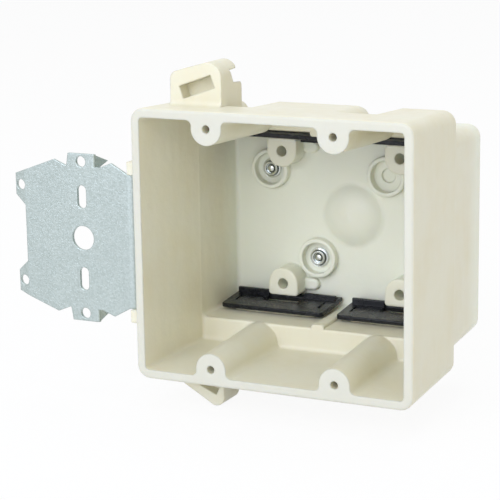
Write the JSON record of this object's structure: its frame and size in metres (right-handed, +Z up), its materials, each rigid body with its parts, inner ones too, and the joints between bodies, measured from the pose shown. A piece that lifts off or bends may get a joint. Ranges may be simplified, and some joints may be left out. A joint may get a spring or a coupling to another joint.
{
  "type": "switch box",
  "caption": "Two-gang moulded switch box with a stepped body, screw bosses, hinged cable clamps, nail holders and a riveted steel stud bracket.",
  "frame": {"origin": "centre of the four device screw holes, on the plane of the open front", "axes": "+X right seen from the front, +Y into the box, +Z up; -Y points out of the open front"},
  "size_m": [0.1517, 0.0739, 0.1207],
  "materials": {
    "fibreglass": "semi-gloss moulded fibreglass polyester",
    "galvanised_sheet": "galvanised with a fine spangle",
    "rivet_zinc": "bright zinc plating",
    "black_nylon": "satin black nylon"
  },
  "bodies": {
    "box": {"box_body": "fibreglass", "stud_bracket": "galvanised_sheet", "rivet_upper": "rivet_zinc", "rivet_lower": "rivet_zinc"},
    "clamp_bottom_left": {"clamp_bottom_left": "black_nylon"},
    "clamp_bottom_right": {"clamp_bottom_right": "black_nylon"},
    "clamp_top_left": {"clamp_top_left": "black_nylon"},
    "clamp_top_right": {"clamp_top_right": "black_nylon"}
  },
  "joints": [
    {"name": "clamp_bottom_left_hinge", "type": "hinge", "parent": "box", "child": "clamp_bottom_left", "pos_m": [-0.02302, 0.0648, -0.03091], "axis": [-1, 0, 0], "range_deg": [0, 35], "stiffness_Nm_per_rad": 0.002, "springref_deg": -11.46},
    {"name": "clamp_bottom_right_hinge", "type": "hinge", "parent": "box", "child": "clamp_bottom_right", "pos_m": [0.02302, 0.0648, -0.03091], "axis": [-1, 0, 0], "range_deg": [0, 35], "stiffness_Nm_per_rad": 0.002, "springref_deg": -11.46},
    {"name": "clamp_top_left_hinge", "type": "hinge", "parent": "box", "child": "clamp_top_left", "pos_m": [-0.02302, 0.0648, 0.03091], "axis": [1, 0, 0], "range_deg": [0, 35], "stiffness_Nm_per_rad": 0.002, "springref_deg": -11.46},
    {"name": "clamp_top_right_hinge", "type": "hinge", "parent": "box", "child": "clamp_top_right", "pos_m": [0.02302, 0.0648, 0.03091], "axis": [1, 0, 0], "range_deg": [0, 35], "stiffness_Nm_per_rad": 0.002, "springref_deg": -11.46}
  ]
}
